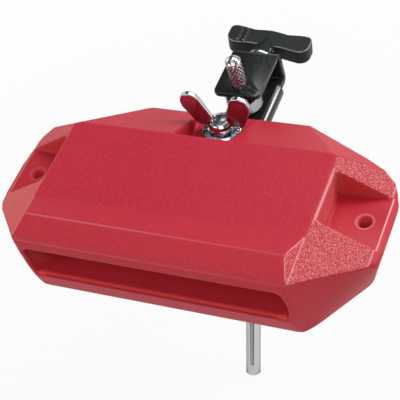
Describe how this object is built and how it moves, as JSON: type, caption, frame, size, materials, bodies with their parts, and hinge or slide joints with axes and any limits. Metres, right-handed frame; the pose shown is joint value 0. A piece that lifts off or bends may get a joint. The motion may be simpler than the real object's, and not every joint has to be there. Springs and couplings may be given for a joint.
{
  "type": "woodblock",
  "caption": "Moulded percussion block with a front sound slot, two bolt ears, a rear wing nut, a steel clamp bracket with a T-handle and a bent mounting rod.",
  "frame": {"origin": "midway between the two ear holes, on the level of the ear floors", "axes": "+X along the block to one ear, +Y to the bracket and the handle behind the block, +Z out of the struck top"},
  "size_m": [0.2324, 0.2001, 0.2115],
  "materials": {
    "red_plastic": "fine moulded grain, semi-gloss",
    "chrome": "bright",
    "plain_steel": "zinc plated",
    "black_steel": "gloss black coat",
    "rubber": "matt",
    "black_plastic": "satin",
    "brass": "machined"
  },
  "bodies": {
    "rod": {"mounting_rod": "chrome"},
    "bracket": {"bracket": "black_steel", "carriage_bolt": "chrome", "rubber_pad": "rubber", "handle_washer": "plain_steel"},
    "block": {"block_body": "red_plastic", "bolt_washer": "chrome", "lock_washer": "plain_steel"},
    "wing_nut": {"wing_nut": "chrome"},
    "eye_bolt": {"eye_bolt": "plain_steel"},
    "t_handle": {"t_handle": "black_plastic", "handle_insert": "brass"}
  },
  "joints": [
    {"name": "bracket_height", "type": "slide", "parent": "rod", "child": "bracket", "axis": [0, 0, 1], "range_m": [-0.005, 0.014]},
    {"name": "block_turn", "type": "hinge", "parent": "bracket", "child": "block", "pos_m": [0, 0.0515, -0.0067], "axis": [0, 0, 1], "range_deg": [-15, 15]},
    {"name": "wing_nut_turn", "type": "hinge", "parent": "bracket", "child": "wing_nut", "pos_m": [0, 0.0515, 0.008], "axis": [0, 0, 1], "continuous": true},
    {"name": "handle_turn", "type": "hinge", "parent": "bracket", "child": "t_handle", "pos_m": [0, 0.122, -0.0076], "axis": [0, 1, 0], "range_deg": [0, 360]},
    {"name": "eye_bolt_draw", "type": "slide", "parent": "bracket", "child": "eye_bolt", "axis": [0, -1, 0], "range_m": [0, 0.00125]}
  ],
  "couplings": [
    {"joint": "handle_turn", "follows": "eye_bolt_draw", "rad_per_m": 5026.5}
  ]
}
